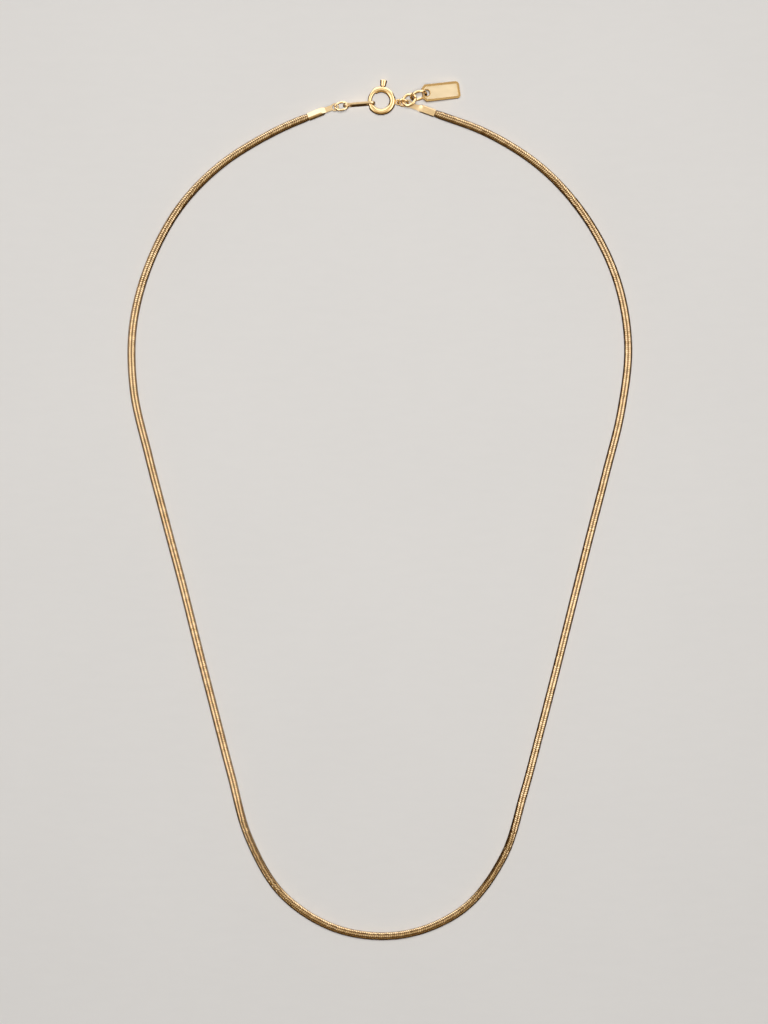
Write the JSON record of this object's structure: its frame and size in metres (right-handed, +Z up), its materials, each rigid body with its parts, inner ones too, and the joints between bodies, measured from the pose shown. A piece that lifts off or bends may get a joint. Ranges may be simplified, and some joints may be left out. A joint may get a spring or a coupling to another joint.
{
  "type": "snake chain necklace",
  "caption": "Gold-coloured snake chain necklace with a spring ring clasp, folded end caps, jump rings and a small plain tag, lying flat.",
  "frame": {"origin": "centre of the necklace's outline, on the surface it lies on", "axes": "+Y from the bottom of the drop towards the clasp, +X to the tag's side, +Z up from the surface"},
  "size_m": [0.1068, 0.1822, 0.0035],
  "materials": {
    "chain_gold": "polished gold plate over fine wavy links",
    "polished_gold": "polished gold plate",
    "tag_gold": "satin gold plate with a polished rim"
  },
  "bodies": {
    "necklace": {"snake_chain": "chain_gold", "end_cap_left": "polished_gold", "end_cap_right": "polished_gold", "jump_ring_left": "polished_gold", "connector_tab": "polished_gold", "spring_ring": "polished_gold", "jump_ring_right": "polished_gold", "middle_ring": "polished_gold", "tag_ring": "polished_gold", "tag": "tag_gold"},
    "gate": {"clasp_gate": "polished_gold"}
  },
  "joints": [
    {"name": "gate_pull", "type": "hinge", "parent": "necklace", "child": "gate", "pos_m": [0.0003, 0.0867, 0.00103], "axis": [0, -0.0712, -0.9975], "range_deg": [0, 60], "stiffness_Nm_per_rad": 0.004, "springref_deg": -11.46}
  ]
}
